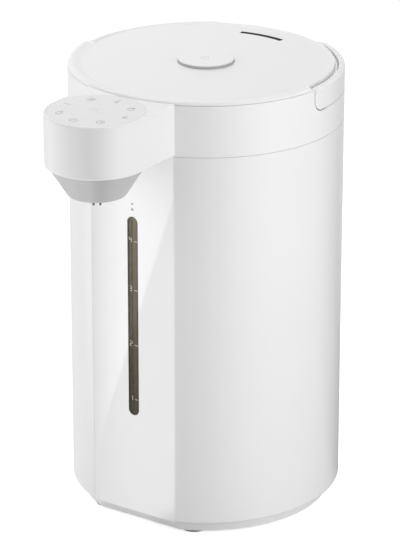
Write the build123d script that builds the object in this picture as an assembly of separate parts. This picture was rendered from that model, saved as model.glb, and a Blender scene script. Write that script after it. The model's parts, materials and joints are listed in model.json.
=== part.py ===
from build123d import *
import os
from math import cos, radians, sin, sqrt

# Hot water dispenser, in millimetres. +Z is up, the spout faces -Y and +X is to the right.
# Every piece is drawn about the upright axis of the round body, standing on z = 0. When the pieces
# are written they move along Y together, so that the origin is under the middle of the whole object.

# Clearances
overrun = 6.0  # how far a cut runs past the faces that it opens
fit_gap = 0.1  # pieces of one body that slide into each other
loose_gap = 0.3  # pieces of different bodies
running_gap = 0.05  # pins and shafts in their bores, on the radius
seam_gap = 0.6  # faces of one body that stay apart
collar_seam = 0.25  # shadow line between the shell and the collar

# Round body with a flat front
body_radius = 100.0
panel_width = 73.0
shell_height = 282.05
shell_wall = 1.6
shell_lip_width = 6.5
shell_lip_thickness = 1.4
shell_edge_round = 1.5

# Front panel and level gauge
panel_thickness = 2.5
panel_lip = 0.8
window_width = 9.0
window_drop = 51.85  # from the upper edge of the shell to the upper end of the window
window_rise = 76.6  # from the lower edge of the shell to the lower end of the window
window_flange = 1.7
tube_radius = 3.5
tube_wall = 1.0
tube_overlap = 20.0  # how far the sight glass runs past the window at each end
tube_setback = 9.1  # from the face of the panel to the middle of the sight glass
channel_width = 14.6
channel_wall = 0.8
channel_overlap = 7.0

# Base and feet
foot_height = 2.0
foot_radius = 9.0
foot_inset = 18.0  # from the outside of the body to the middle of a foot
foot_angle = 28.0
foot_plug_radius = 3.5
base_band_height = 9.0
base_inset = 8.0
base_wall = 2.2
base_flange_thickness = 2.0
base_upstand = 7.6
vent_width = 3.0
vent_length = 34.0
vent_pitch = 8.0
vent_count = 5
vent_distance = 32.0

# Collar and dispensing head
ring_height = 37.6
head_height = 38.7
head_rim = 2.0  # top of the head outside the touch panel
collar_wall = 2.5
head_wall = 2.1
head_top_thickness = 4.0
head_edge_round = 1.2
head_low_round = 1.8
skirt_wall = 2.2
skirt_depth = 6.5
skirt_clear = 9.0  # from the web of the shell to the front ends of the skirt
deck_drop = 7.9
deck_thickness = 2.5
mouth_step = 1.5  # the mouth is this much smaller than the pot
catch_width = 24.0
catch_depth = 4.0

# Spout under the head
spout_drop = 21.8
spout_end_radius = 20.7
spout_wall = 2.0
spout_plate = 2.5
spout_edge_round = 3.0
nozzle_radius = 4.2
nozzle_bore = 2.6
nozzle_tip = 2.7
nozzle_flange_radius = 7.5
nozzle_flange_thickness = 1.6
nozzle_height = 22.0
hose_wall = 0.9
hose_grip = 10.0  # length of hose pushed over a spigot or the sight glass

# Touch panel and its board
touch_gap = 0.8  # between the touch panel and the round of the body
touch_thickness = 2.0
touch_ledge = 3.6
board_inset = 5.5
board_thickness = 1.6
sensor_radius = 3.0
sensor_inset = 7.0
sensor_count = 8
sensor_height = 6.4
buzzer_radius = 6.0
buzzer_height = 4.5

# Pot, its support and heater
pot_room = 1.1  # between the pot and the gutter of the sight glass
pot_wall = 0.7
pot_stand = 60.0  # from the underside of the base to the underside of the pot
pot_floor_round = 5.8
pot_flange_width = 7.0
pot_flange_thickness = 0.8
spigot_radius = 4.0
spigot_wall = 1.1
spigot_length = 10.0
jacket_gap = 0.5
jacket_thickness = 7.0
jacket_margin = 8.0
jacket_opening = 60.0
support_ring_inset = 2.7  # inside the rounding of the pot's floor
support_ring_wall = 3.3
support_ring_height = 9.0
support_plate_margin = 7.5
support_plate_shelf = 10.0
support_plate_thickness = 3.0
post_radius = 5.0
post_inset = 8.0
heater_gap = 10.0  # between the heater and the support plate, on the radius
heater_thickness = 4.5
heater_groove_inset = 14.0
heater_groove_width = 9.0
heater_groove_depth = 2.0
heater_tab_length = 8.0
heater_tab_width = 6.0
heater_tab_thickness = 1.0
cutout_radius = 8.0
cutout_height = 6.0
cutout_spacing = 36.0
sensor_cap_radius = 6.2
sensor_flange_radius = 8.5
sensor_flange_thickness = 2.0

# Pump
pump_x = -14.0
pump_inset = 14.5  # from the wall of the pot to the pump's axis, along Y
motor_radius = 13.0
motor_height = 20.0
volute_radius = 18.0
volute_height = 14.0
volute_wall = 3.0
impeller_radius = 12.0
impeller_disc = 1.5
impeller_gap = 0.8
impeller_hub_radius = 4.0
vane_count = 6
vane_width = 1.2
vane_height = 5.0
vane_sweep = 35.0
shaft_radius = 1.5
shaft_depth = 12.0
outlet_x = 0.0
outlet_offset = 6.0
outlet_boss_radius = 5.6
outlet_length = 8.0
hose_bend_radius = 12.0
hose_room = 0.9  # clearance of a hose in the frame
inlet_hose_wall = 1.9

# Electronics and mains inlet at the rear
power_board_gap = 8.0
power_board_depth = 52.0
power_board_setback = 64.0
power_board_lift = 6.0
standoff_radius = 3.0
standoff_margin = 6.0
transformer_size = 22.0
transformer_height = 17.0
capacitor_radius = 7.0
capacitor_height = 20.0
relay_length = 20.0
relay_width = 12.0
relay_height = 14.0
inlet_width = 30.0
inlet_height = 22.0
inlet_depth = 24.0
inlet_rise = 26.0  # from the lower edge of the shell to the middle of the inlet
inlet_rim = 2.7
inlet_flange = 3.5
inlet_flange_thickness = 3.0
socket_depth = 16.0
pin_width = 2.0
pin_height = 4.0
pin_pitch = 7.0
pin_length = 12.0
pin_tail = 6.0

# Lid
lid_edge = 2.8  # height and rounding of the rim
lid_field_drop = 1.7
lid_rim_width = 4.4
lid_rim_slope = 5.1
lid_rim_seat = 1.5
lid_wall = 2.2
lid_rear_gap = 2.6  # between the lid and the handle
lid_notch = 4.0  # the lid narrows this far in front of the handle's end
lid_rear_round = 2.2
lid_rib_gap = 0.5
lid_rib_wall = 2.0
lid_rib_drop = 4.0
lid_rib_break = 8.0  # the rib stops this far in front of the hinge
slot_inset = 16.0
slot_width = 4.4
slot_angle = 28.0
vent_tray_margin = 2.2
vent_tray_wall = 1.2
vent_tray_angle = 6.0
liner_margin = 3.3
liner_thickness = 2.0
plug_gap = 3.0
plug_wall = 3.0
plug_depth = 11.0
well_radius = 24.0
well_wall = 2.0
well_floor = 1.5
latch_room = 3.1  # space for the latch between the liner and the lid cover
inner_plate_thickness = 1.0
steam_hole_radius = 3.0
steam_hole_inset = 24.0
steam_hole_count = 5
seal_reach = 5.2  # how far the seal reaches past the mouth
seal_width = 4.0
lid_screw_inset = 8.0
lid_boss_radius = 4.0

# Lid hinge
hinge_setback = 4.3
hinge_drop = 4.8  # from the top of the lid rim to the hinge axis
hinge_pin_radius = 1.2
knuckle_radius = 2.1
knuckle_half = 13.5
lug_width = 5.0
lug_gap = 0.5
hinge_room_margin = 4.0  # the gap behind the hinge is this much wider than the lid there, on each side

# Lid button and latch
button_radius = 20.3
button_wall = 1.6
button_top = 1.8
button_rise = 2.7  # above the field of the lid
button_skirt = 6.4
button_travel = 2.5
button_edge_round = 1.0
stem_width = 9.0
stem_depth = 8.0
stem_foot = 3.5  # how far the stem reaches below the latch
latch_width = 16.0
latch_thickness = 2.0
latch_ratio = 1.2  # latch travel for each unit of button travel
latch_nose = 2.0  # how far the latch reaches into its catch
latch_frame = 3.5
spring_radius = 3.0
spring_wire = 0.4
spring_turns = 4

# Carrying handle
handle_thickness = 4.6
handle_height = 17.5
handle_rise = 1.1  # top of the handle above the top of the collar ring
handle_lead = 10.0  # from the pivot to the front end
handle_gap = 0.9
handle_end_round = 9.0
handle_top_round = 6.0
handle_outer_round = 2.0
handle_inner_round = 1.2
handle_pivot_drop = 8.0
handle_wall = 2.8
scoop_half = 50.0
scoop_depth = 6.0
pivot_radius = 2.5
pivot_depth = 3.0
pivot_head_radius = 4.5
pivot_head_thickness = 1.5

# Screws
screw_radius = 1.6
screw_head_radius = 3.6
screw_head_height = 1.4
base_screw_length = 14.0
lid_screw_length = 5.0

# Heights and distances that follow from the sizes above
panel_half = panel_width / 2
panel_distance = sqrt(body_radius**2 - panel_half**2)
web_inner = panel_distance - panel_thickness - shell_wall
shell_bore = body_radius - shell_wall
head_radius = panel_half
touch_radius = head_radius - head_rim
head_reach = body_radius + touch_gap + touch_radius
board_radius = touch_radius - board_inset
sensor_circle = board_radius - sensor_inset
skirt_front = web_inner - skirt_clear
foot_circle = body_radius - foot_inset
base_low = foot_height
floor_high = base_low + base_wall
shell_low = base_low + base_band_height
shell_high = shell_low + shell_height
window_low = shell_low + window_rise
window_high = shell_high - window_drop
window_height = window_high - window_low
window_middle = (window_low + window_high) / 2
collar_low = shell_high + collar_seam
ring_high = collar_low + ring_height
head_high = collar_low + head_height
deck_high = ring_high - deck_drop
deck_low = deck_high - deck_thickness
ring_bore = body_radius - collar_wall
head_bore = head_radius - head_wall
lid_low = ring_high + loose_gap
lid_high = lid_low + lid_edge
field_high = lid_high - lid_field_drop
field_low = field_high - lid_wall
latch_floor = field_low - latch_room
liner_low = latch_floor - liner_thickness
plug_low = liner_low - plug_depth
well_low = plug_low + inner_plate_thickness
hinge_z = lid_high - hinge_drop
handle_bore = body_radius - handle_thickness
handle_high = ring_high + handle_rise
handle_low = handle_high - handle_height
pivot_z = handle_high - handle_pivot_drop
recess_radius = handle_bore - seam_gap
recess_wall_radius = recess_radius - handle_wall
recess_wall_high = field_low - loose_gap
tube_distance = panel_distance - tube_setback
pot_radius = tube_distance - tube_radius - fit_gap - channel_wall - pot_room
pot_low = base_low + pot_stand
pot_high = deck_low
mouth_radius = pot_radius - mouth_step
support_ring_radius = pot_radius - pot_floor_round - support_ring_inset
support_plate_radius = pot_radius + support_plate_margin
support_plate_window = support_ring_radius - support_plate_shelf
post_circle = support_plate_window + post_inset
heater_radius = support_plate_window - heater_gap
heater_groove_radius = heater_radius - heater_groove_inset
pump_y = pump_inset - pot_radius
outlet_y = pump_y - outlet_offset
power_board_y = body_radius - power_board_setback
power_board_width = 2 * (post_circle * cos(radians(45)) - post_radius - power_board_gap)
plug_radius = mouth_radius - plug_gap
seal_radius = mouth_radius + seal_reach
liner_radius = seal_radius + liner_margin
lid_rib_radius = liner_radius + lid_rib_gap + lid_rib_wall
lid_crest_radius = body_radius - lid_rim_width
lid_field_radius = lid_crest_radius - lid_rim_slope
lid_seam_radius = lid_field_radius - lid_rim_seat
lid_rear_radius = handle_bore - lid_rear_gap
lid_notch_y = -handle_lead - lid_notch
lid_screw_circle = plug_radius - lid_screw_inset
steam_hole_circle = plug_radius - steam_hole_inset
slot_radius = lid_field_radius - slot_inset
hinge_y = lid_rear_radius - hinge_setback
hinge_room = sqrt(lid_rear_radius**2 - hinge_y**2) + hinge_room_margin
motor_high = floor_high + motor_height
volute_high = motor_high + volute_height
hose_radius = tube_radius + fit_gap + hose_wall
hose_bore = tube_radius + fit_gap
spout_low = collar_low - spout_drop
inlet_z = shell_low + inlet_rise
button_high = field_high + button_rise
latch_low = latch_floor + fit_gap
latch_high = latch_low + latch_thickness
stem_low = latch_low - stem_foot
latch_travel = button_travel * latch_ratio
far = 4 * body_radius  # past every piece
frame_shift = (head_reach + head_radius - body_radius) / 2


def layer(outline, low, high):
    """Solid of a flat outline between two heights."""
    return extrude(Pos(0, 0, low) * outline, amount=high - low)


def disc(radius, low, high, x=0, y=0):
    """Upright cylinder."""
    return layer(Pos(x, y) * Circle(radius), low, high)


def ring(outer, inner, low, high, x=0, y=0):
    """Upright tube."""
    return layer(Pos(x, y) * (Circle(outer) - Circle(inner)), low, high)


def block(x_low, x_high, y_low, y_high, z_low, z_high):
    """Box between two corners."""
    size = (x_high - x_low, y_high - y_low, z_high - z_low)
    middle = ((x_high + x_low) / 2, (y_high + y_low) / 2, (z_high + z_low) / 2)
    return Pos(*middle) * Box(*size)


def spun(points, radii):
    """Solid turned about the body axis from a closed outline of (radius, height) points."""
    outline = make_face(FilletPolyline(*points, radius=radii, close=True))
    return revolve(Plane.XZ * outline, axis=Axis.Z)


def flat_front(radius, distance):
    """Round outline cut off straight at the front."""
    side = 4 * radius
    return Circle(radius) - Pos(0, -distance - side / 2) * Rectangle(side, side)


def head_outline(radius, back):
    """Outline of the head: a half circle in front, and straight sides that run back."""
    length = head_reach - back
    sides = Pos(0, -back - length / 2) * Rectangle(2 * radius, length)
    return Pos(0, -head_reach) * Circle(radius) + sides


def upright_slot(width, height, y_front, y_back):
    """Slot with round ends on the flat front, between two distances from the body axis."""
    face = Plane(origin=(0, -y_back, window_middle), x_dir=(1, 0, 0), z_dir=(0, -1, 0))
    return extrude(face * SlotOverall(height, width, rotation=90), amount=y_front - y_back)


def along_x(radius, x_low, x_high, y, z):
    """Cylinder along X."""
    face = Plane(origin=(x_low, y, z), x_dir=(0, 1, 0), z_dir=(1, 0, 0))
    return extrude(face * Circle(radius), amount=x_high - x_low)


def side_slab(points, radii):
    """Slab right across the body from a closed outline of (y, z) points."""
    outline = make_face(FilletPolyline(*points, radius=radii, close=True))
    return extrude(Plane.YZ * outline, amount=far, both=True)


def sector(radius, angle, low, high):
    """Wedge about the rear direction, as wide as the angle."""
    half = radians(angle / 2)
    corners = [(0, 0), (radius * sin(half), radius * cos(half)), (-radius * sin(half), radius * cos(half))]
    return layer(make_face(Polyline(*corners, close=True)), low, high)


def hose(points, bends, bore, outer):
    """Tube along straight runs with round bends."""
    path = FilletPolyline(*points, radius=bends)
    start = Plane(origin=path @ 0, z_dir=path % 0)
    return sweep(start * (Circle(outer) - Circle(bore)), path=path)


def around(count, circle, turn=0):
    """Evenly spaced places on a circle about the body axis."""
    angles = [radians(turn + 360 * step / count) for step in range(count)]
    return [(circle * cos(angle), circle * sin(angle)) for angle in angles]


def together(solids):
    """One piece of several separate solids."""
    whole = solids[0]
    for solid in solids[1:]:
        whole += solid
    return whole


def make_outer_shell():
    """D-section wall, rolled in under its lower edge, with a step for the front panel."""
    edge = [(0, shell_low), (body_radius, shell_low), (body_radius, shell_high), (0, shell_high)]
    shell = spun(edge, [0, shell_edge_round, 0, 0])
    shell -= block(-far, far, -far, -panel_distance, 0, far)
    lip_high = shell_low + shell_lip_thickness
    shell -= layer(flat_front(shell_bore, web_inner), lip_high, shell_high + overrun)
    lip = flat_front(body_radius - shell_lip_width, panel_distance - shell_lip_width)
    shell -= layer(lip, shell_low - overrun, lip_high)
    step = panel_half - panel_lip
    step_back = panel_thickness - panel_distance
    shell -= block(-step, step, -far, step_back, 0, far)
    wide = 2 * (window_flange + fit_gap)
    shell -= upright_slot(window_width + wide, window_height + wide, panel_distance, web_inner - overrun)
    opening_x = inlet_width / 2 + fit_gap
    opening_z = inlet_height / 2 + fit_gap
    shell -= block(-opening_x, opening_x, 0, body_radius + overrun, inlet_z - opening_z, inlet_z + opening_z)
    return shell


def make_front_panel():
    """Flat panel with the slot of the level gauge."""
    half = panel_half - panel_lip - fit_gap
    panel = block(-half, half, -panel_distance, panel_thickness - panel_distance, shell_low, shell_high)
    front = panel_distance + overrun
    back = panel_distance - panel_thickness - overrun
    return panel - upright_slot(window_width, window_height, front, back)


def make_level_window():
    """Tinted window, flush with the panel, with a flange behind it."""
    back = panel_distance - panel_thickness
    window = upright_slot(window_width - 2 * fit_gap, window_height - 2 * fit_gap, panel_distance, back)
    wide = 2 * window_flange
    return window + upright_slot(window_width + wide, window_height + wide, back, web_inner)


def make_level_channel():
    """Gutter behind the sight glass."""
    half = channel_width / 2
    back = tube_distance - tube_radius - fit_gap
    low = window_low - channel_overlap
    high = window_high + channel_overlap
    channel = block(-half, half, fit_gap - web_inner, channel_wall - back, low, high)
    inner = half - channel_wall
    return channel - block(-inner, inner, -web_inner - overrun, -back, low - overrun, high + overrun)


def make_level_tube():
    """Sight glass."""
    low = window_low - tube_overlap
    high = window_high + tube_overlap
    return ring(tube_radius, tube_radius - tube_wall, low, high, y=-tube_distance)


def make_base_plate():
    """Base with an inset band, a flange on the rolled lip and an upstand inside the shell."""
    lip_high = shell_low + shell_lip_thickness
    flange_high = lip_high + base_flange_thickness
    top = flange_high + base_upstand
    seat_radius = shell_bore - loose_gap
    seat_front = web_inner - loose_gap
    band_radius = body_radius - base_inset
    band_front = panel_distance - base_inset
    base = layer(flat_front(band_radius, band_front), base_low, flange_high)
    base += layer(flat_front(seat_radius, seat_front), lip_high, top)
    room = flat_front(band_radius - base_wall, band_front - base_wall)
    base -= layer(room, floor_high, flange_high)
    upper = flat_front(seat_radius - base_wall, seat_front - base_wall)
    base -= layer(upper, flange_high, top + overrun)
    for x, y in foot_places():
        base -= disc(foot_plug_radius + fit_gap, base_low - overrun, floor_high + overrun, x, y)
    for x, y in post_places():
        base -= disc(screw_radius + fit_gap, base_low - overrun, floor_high + overrun, x, y)
    first = vent_distance - vent_pitch * (vent_count - 1) / 2
    for row in range(vent_count):
        slot = Pos(0, first + vent_pitch * row) * SlotOverall(vent_length, vent_width)
        base -= layer(slot, base_low - overrun, floor_high + overrun)
    return base


def foot_places():
    """Two feet in front and two behind, either side of the middle."""
    x = foot_circle * sin(radians(foot_angle))
    y = foot_circle * cos(radians(foot_angle))
    return [(x, -y), (-x, -y), (x, y), (-x, y)]


def post_places():
    """Four posts at the corners of a square."""
    return around(4, post_circle, 45)


def make_rubber_feet():
    """Round feet, each with a plug through the base."""
    feet = []
    for x, y in foot_places():
        plug = disc(foot_plug_radius, foot_height, floor_high, x, y)
        feet.append(disc(foot_radius, 0, foot_height, x, y) + plug)
    return together(feet)


def make_screw(x, y, head_low, length):
    """Pan-head screw pointing up."""
    head_high_here = head_low + screw_head_height
    head = disc(screw_head_radius, head_low, head_high_here, x, y)
    return head + disc(screw_radius, head_high_here, head_high_here + length, x, y)


def make_base_screws():
    """Screws from under the base into the posts."""
    head_low = base_low - screw_head_height
    return together([make_screw(x, y, head_low, base_screw_length) for x, y in post_places()])


def make_collar():
    """Top ring and dispensing head in one moulding, with the seat of the lid and the handle's recess."""
    head = layer(head_outline(head_radius, 0), collar_low, head_high)
    head = fillet(head.edges().group_by(Axis.Z)[-1], head_edge_round)
    head = fillet(head.edges().group_by(Axis.Z)[0], head_low_round)
    collar = disc(body_radius, collar_low, ring_high) + head - disc(body_radius + loose_gap, ring_high, far)
    under = Circle(ring_bore) + head_outline(head_bore, 0)
    collar -= layer(under, collar_low - overrun, deck_low)
    chamber = head_outline(head_bore, 0) - Circle(body_radius)
    chamber_high = head_high - head_top_thickness
    collar -= layer(chamber, deck_low, chamber_high)
    collar -= disc(ring_bore, deck_high, head_high + overrun)
    collar -= disc(mouth_radius, deck_low - overrun, deck_high + overrun)
    collar -= disc(touch_radius + fit_gap, head_high - touch_thickness, head_high + overrun, y=-head_reach)
    collar -= disc(touch_radius - touch_ledge, chamber_high - overrun, head_high, y=-head_reach)
    skirt_radius = shell_bore - loose_gap
    skirt_bore = skirt_radius - skirt_wall
    skirt = ring(skirt_radius, skirt_bore, shell_high - skirt_depth, collar_low)
    skirt += ring(ring_bore + fit_gap, skirt_bore, collar_low, collar_low + skirt_depth)
    collar += skirt & block(-far, far, -skirt_front, far, 0, far)
    collar = collar + make_catch_block() - make_catch_slot()
    collar = collar + make_handle_wall() - make_handle_recess()
    room = block(-hinge_room, hinge_room, 0, far, deck_high, far)
    collar -= room - disc(recess_wall_radius - knuckle_radius * 2, deck_low, far)
    for side in (-1, 1):
        collar += make_hinge_lug(side)
        seat = pivot_seat()
        collar -= across(pivot_head_radius + fit_gap, side, seat - pivot_head_thickness - fit_gap, seat)
        collar -= across(pivot_radius + fit_gap, side, seat, recess_radius + overrun)
    return collar


def make_catch_block():
    """Block inside the head that thickens the ring behind the latch."""
    half = catch_width / 2
    top = head_high - head_top_thickness
    return block(-half, half, -body_radius - catch_depth, -ring_bore - fit_gap, deck_low, top)


def make_catch_slot():
    """Slot that the nose of the latch enters."""
    half = latch_width / 2 + loose_gap
    depth = ring_bore + latch_nose + collar_wall
    return block(-half, half, -depth, overrun - ring_bore, latch_low - loose_gap, latch_high + loose_gap)


def make_handle_wall():
    """Wall and ledge round the handle's recess."""
    gap = handle_gap + collar_wall
    corners = [
        (-handle_lead - gap, handle_low - gap),
        (far, handle_low - gap),
        (far, recess_wall_high),
        (-handle_lead - gap, recess_wall_high),
    ]
    slab = side_slab(corners, [handle_end_round + gap, 0, 0, 0])
    return slab & ring(ring_bore + fit_gap, recess_wall_radius, 0, far)


def make_handle_recess():
    """Room for the folded handle, outside the recess wall."""
    corners = [
        (-handle_lead - handle_gap, handle_low - handle_gap),
        (far, handle_low - handle_gap),
        (far, handle_high + overrun),
        (-handle_lead - handle_gap, handle_high + overrun),
    ]
    slab = side_slab(corners, [handle_end_round + handle_gap, 0, 0, 0])
    return slab - disc(recess_radius, 0, far)


def pivot_seat():
    """Distance from the body axis at which the head of a handle pivot meets the recess wall."""
    return sqrt(recess_wall_radius**2 - pivot_head_radius**2)


def across(radius, side, near, away):
    """Cylinder along X on the axis of the handle, on one side of the body."""
    return along_x(radius, min(side * near, side * away), max(side * near, side * away), 0, pivot_z)


def make_hinge_lug(side):
    """Ear on the deck that holds one end of the hinge pin."""
    inner = side * (knuckle_half + lug_gap)
    outer = side * (knuckle_half + lug_gap + lug_width)
    x_low = min(inner, outer)
    x_high = max(inner, outer)
    lug = along_x(knuckle_radius, x_low, x_high, hinge_y, hinge_z)
    y_low = hinge_y - knuckle_radius
    y_high = hinge_y + knuckle_radius
    lug += block(x_low, x_high, y_low, y_high, deck_high - fit_gap, hinge_z)
    return lug - along_x(hinge_pin_radius + fit_gap, x_low - overrun, x_high + overrun, hinge_y, hinge_z)


def make_hinge_pin():
    """Pin through both ears and the lid's knuckle."""
    half = knuckle_half + lug_gap + lug_width
    return along_x(hinge_pin_radius, -half, half, hinge_y, hinge_z)


def make_spout_cone():
    """Underside of the head, drawn down to a cone round the outlet."""
    outline = head_outline(head_bore - fit_gap, panel_distance + seam_gap)
    plate = layer(outline, collar_low, collar_low + spout_plate)
    top_radius = head_bore - fit_gap
    corners = [(0, spout_low), (spout_end_radius, spout_low), (top_radius, collar_low), (0, collar_low)]
    cone = Pos(0, -head_reach) * spun(corners, [0, spout_edge_round, 0, 0])
    inner_end = spout_end_radius - spout_wall
    inner_top = top_radius - spout_wall
    high = collar_low + spout_plate
    hollow = [(0, spout_low + spout_wall), (inner_end, spout_low + spout_wall), (inner_top, collar_low)]
    hollow += [(inner_top, high + overrun), (0, high + overrun)]
    spout = plate + cone - Pos(0, -head_reach) * spun(hollow, [0, spout_wall, 0, 0, 0])
    return spout - disc(nozzle_radius + fit_gap, spout_low - overrun, high, y=-head_reach)


def make_outlet_nozzle():
    """Outlet tube with a flange on the floor of the cone and a spigot for the hose."""
    seat = spout_low + spout_wall
    tip = spout_low - nozzle_tip
    top = seat + nozzle_height
    nozzle = disc(nozzle_radius, tip, seat, y=-head_reach)
    nozzle += disc(nozzle_flange_radius, seat, seat + nozzle_flange_thickness, y=-head_reach)
    nozzle += disc(tube_radius, seat, top, y=-head_reach)
    return nozzle - disc(nozzle_bore, tip - overrun, top + overrun, y=-head_reach)


def make_touch_panel():
    """Round touch panel, flush with the top of the head."""
    return disc(touch_radius, head_high - touch_thickness, head_high, y=-head_reach)


def make_control_board():
    """Board under the touch panel, with a sensor pad for each touch field and a buzzer."""
    pad_high = head_high - touch_thickness
    board_high = pad_high - sensor_height
    board = disc(board_radius, board_high - board_thickness, board_high, y=-head_reach)
    for x, y in around(sensor_count, sensor_circle):
        board += disc(sensor_radius, board_high, pad_high, x, y - head_reach)
    return board + disc(buzzer_radius, board_high, board_high + buzzer_height, y=-head_reach)


def make_upper_hose():
    """Hose from the sight glass up, forward into the head and down on to the nozzle."""
    start = window_high + tube_overlap - hose_grip
    run = (collar_low + deck_low) / 2
    end = spout_low + spout_wall + nozzle_height - hose_grip
    points = [
        (0, -tube_distance, start),
        (0, -tube_distance, run),
        (0, -head_reach, run),
        (0, -head_reach, end),
    ]
    return hose(points, hose_bend_radius, hose_bore, hose_radius)


def make_lower_hose():
    """Hose from the pump's outlet to the foot of the sight glass."""
    start = volute_high + fit_gap
    bend = volute_high + outlet_length + spigot_radius
    forward = tube_distance + outlet_y
    end = window_low - tube_overlap + hose_grip
    points = [
        (outlet_x, outlet_y, start),
        (outlet_x, outlet_y, bend),
        (0, -tube_distance, bend + forward),
        (0, -tube_distance, end),
    ]
    return hose(points, hose_bend_radius, hose_bore, hose_radius)


def make_inlet_hose():
    """Straight sleeve from the pot's spigot to the pump."""
    bore = spigot_radius + fit_gap
    return ring(bore + inlet_hose_wall, bore, volute_high + fit_gap, pot_low - fit_gap, pump_x, pump_y)


def make_whole_pot():
    """Stainless pot with a flange round its mouth and an outlet in its floor."""
    outer = [(0, pot_low), (pot_radius, pot_low), (pot_radius, pot_high), (0, pot_high)]
    bore = pot_radius - pot_wall
    floor = pot_low + pot_wall
    inner = [(0, floor), (bore, floor), (bore, pot_high + overrun), (0, pot_high + overrun)]
    pot = spun(outer, [0, pot_floor_round, 0, 0])
    pot += ring(pot_radius + pot_flange_width, bore, pot_high - pot_flange_thickness, pot_high)
    pot += disc(spigot_radius, pot_low - spigot_length, pot_low + pot_wall, pump_x, pump_y)
    pot -= spun(inner, [0, pot_floor_round - pot_wall, 0, 0])
    return pot - disc(spigot_radius - spigot_wall, pot_low - far, pot_low + overrun, pump_x, pump_y)


def below_pot_seam():
    """Space below the weld between the wall of the pot and its floor."""
    return block(-far, far, -far, far, 0, pot_low + pot_floor_round)


def make_inner_pot():
    """Wall of the pot, hung by its flange under the deck."""
    return make_whole_pot() - below_pot_seam()


def make_pot_floor():
    """Floor of the pot with its rounded edge and the outlet, welded to the wall."""
    return make_whole_pot() & below_pot_seam()


def make_insulation_jacket():
    """Felt round the pot, open at the front for the sight glass."""
    inner = pot_radius + jacket_gap
    jacket = ring(inner + jacket_thickness, inner, pot_low + jacket_margin, pot_high - jacket_margin)
    half = jacket_opening / 2
    return jacket - block(-half, half, -far, 0, 0, far)


def make_pot_support():
    """Frame on four posts: a plate with a ring that carries the floor of the pot."""
    plate_high = pot_low - support_ring_height
    plate_low = plate_high - support_plate_thickness
    frame = ring(support_plate_radius, support_plate_window, plate_low, plate_high)
    frame += ring(support_ring_radius, support_ring_radius - support_ring_wall, plate_high, pot_low)
    for x, y in post_places():
        frame += disc(post_radius, floor_high, plate_high, x, y)
        frame -= disc(screw_radius + fit_gap, floor_high - overrun, floor_high + base_screw_length, x, y)
    hose_half = hose_radius + hose_room
    notch_back = overrun - support_plate_window
    frame -= block(-hose_half, hose_half, -far, notch_back, plate_low - overrun, pot_low + overrun)
    sleeve = spigot_radius + inlet_hose_wall + hose_room
    return frame - disc(sleeve, plate_low - overrun, pot_low + overrun, pump_x, pump_y)


def make_heater_plate():
    """Heater pressed against the floor of the pot, with a ring groove and two terminals."""
    low = pot_low - heater_thickness
    plate = disc(heater_radius, low, pot_low)
    outer = heater_groove_radius + heater_groove_width / 2
    plate -= ring(outer, outer - heater_groove_width, low - overrun, low + heater_groove_depth)
    plate -= disc(sensor_cap_radius + fit_gap, low - overrun, pot_low + overrun)
    for side in (-1, 1):
        near = side * heater_tab_width
        x_low = near - heater_tab_width / 2
        x_high = near + heater_tab_width / 2
        y_high = heater_radius - heater_tab_thickness
        y_low = y_high - heater_tab_thickness
        plate += block(x_low, x_high, y_low, y_high, low - heater_tab_length, low)
    return plate


def make_thermal_cutouts():
    """Two thermal cut-outs on the underside of the heater."""
    high = pot_low - heater_thickness
    half = cutout_spacing / 2
    return together([disc(cutout_radius, high - cutout_height, high, x) for x in (-half, half)])


def make_temperature_sensor():
    """Sensor in the middle of the heater, against the floor of the pot."""
    low = pot_low - heater_thickness
    cap = disc(sensor_cap_radius, low, pot_low)
    return cap + disc(sensor_flange_radius, low - sensor_flange_thickness, low)


def make_pump_housing():
    """Round pump chamber with an inlet spigot on top and an outlet spigot at its rim."""
    housing = disc(volute_radius, motor_high, volute_high, pump_x, pump_y)
    housing += disc(outlet_boss_radius, motor_high, volute_high, outlet_x, outlet_y)
    housing += disc(spigot_radius, volute_high, volute_high + spigot_length, pump_x, pump_y)
    housing += disc(tube_radius, volute_high, volute_high + outlet_length, outlet_x, outlet_y)
    chamber_low = motor_high + volute_wall
    chamber_high = volute_high - volute_wall
    housing -= disc(impeller_radius + impeller_gap, chamber_low, chamber_high, pump_x, pump_y)
    housing -= disc(spigot_radius - spigot_wall, chamber_high, volute_high + far, pump_x, pump_y)
    housing -= disc(tube_radius - tube_wall, chamber_low, volute_high + far, outlet_x, outlet_y)
    bore = shaft_radius + running_gap
    return housing - disc(bore, motor_high - overrun, chamber_low + overrun, pump_x, pump_y)


def make_pump_motor():
    """Motor under the pump chamber, standing on the base."""
    motor = disc(motor_radius, floor_high, motor_high, pump_x, pump_y)
    bore_low = motor_high - shaft_depth
    return motor - disc(shaft_radius + running_gap, bore_low, motor_high + overrun, pump_x, pump_y)


def make_pump_impeller():
    """Impeller with swept vanes on its shaft."""
    low = motor_high + volute_wall + impeller_gap
    disc_high = low + impeller_disc
    vane_high = disc_high + vane_height
    wheel = disc(impeller_radius, low, disc_high)
    wheel += disc(impeller_hub_radius, low, vane_high - impeller_gap)
    reach = impeller_radius - impeller_gap
    vane = Pos(reach / 2, 0) * Rectangle(reach, vane_width)
    tip = Pos(reach / 2, 0) * Rot(0, 0, vane_sweep) * Pos(reach / 2, 0) * Rectangle(reach, vane_width)
    blade = layer(vane + tip, disc_high, vane_high) & disc(reach, disc_high, vane_high)
    for step in range(vane_count):
        wheel += Rot(0, 0, 360 * step / vane_count) * blade
    wheel += disc(shaft_radius, motor_high - shaft_depth + impeller_gap, low)
    return Pos(pump_x, pump_y) * wheel


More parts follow.
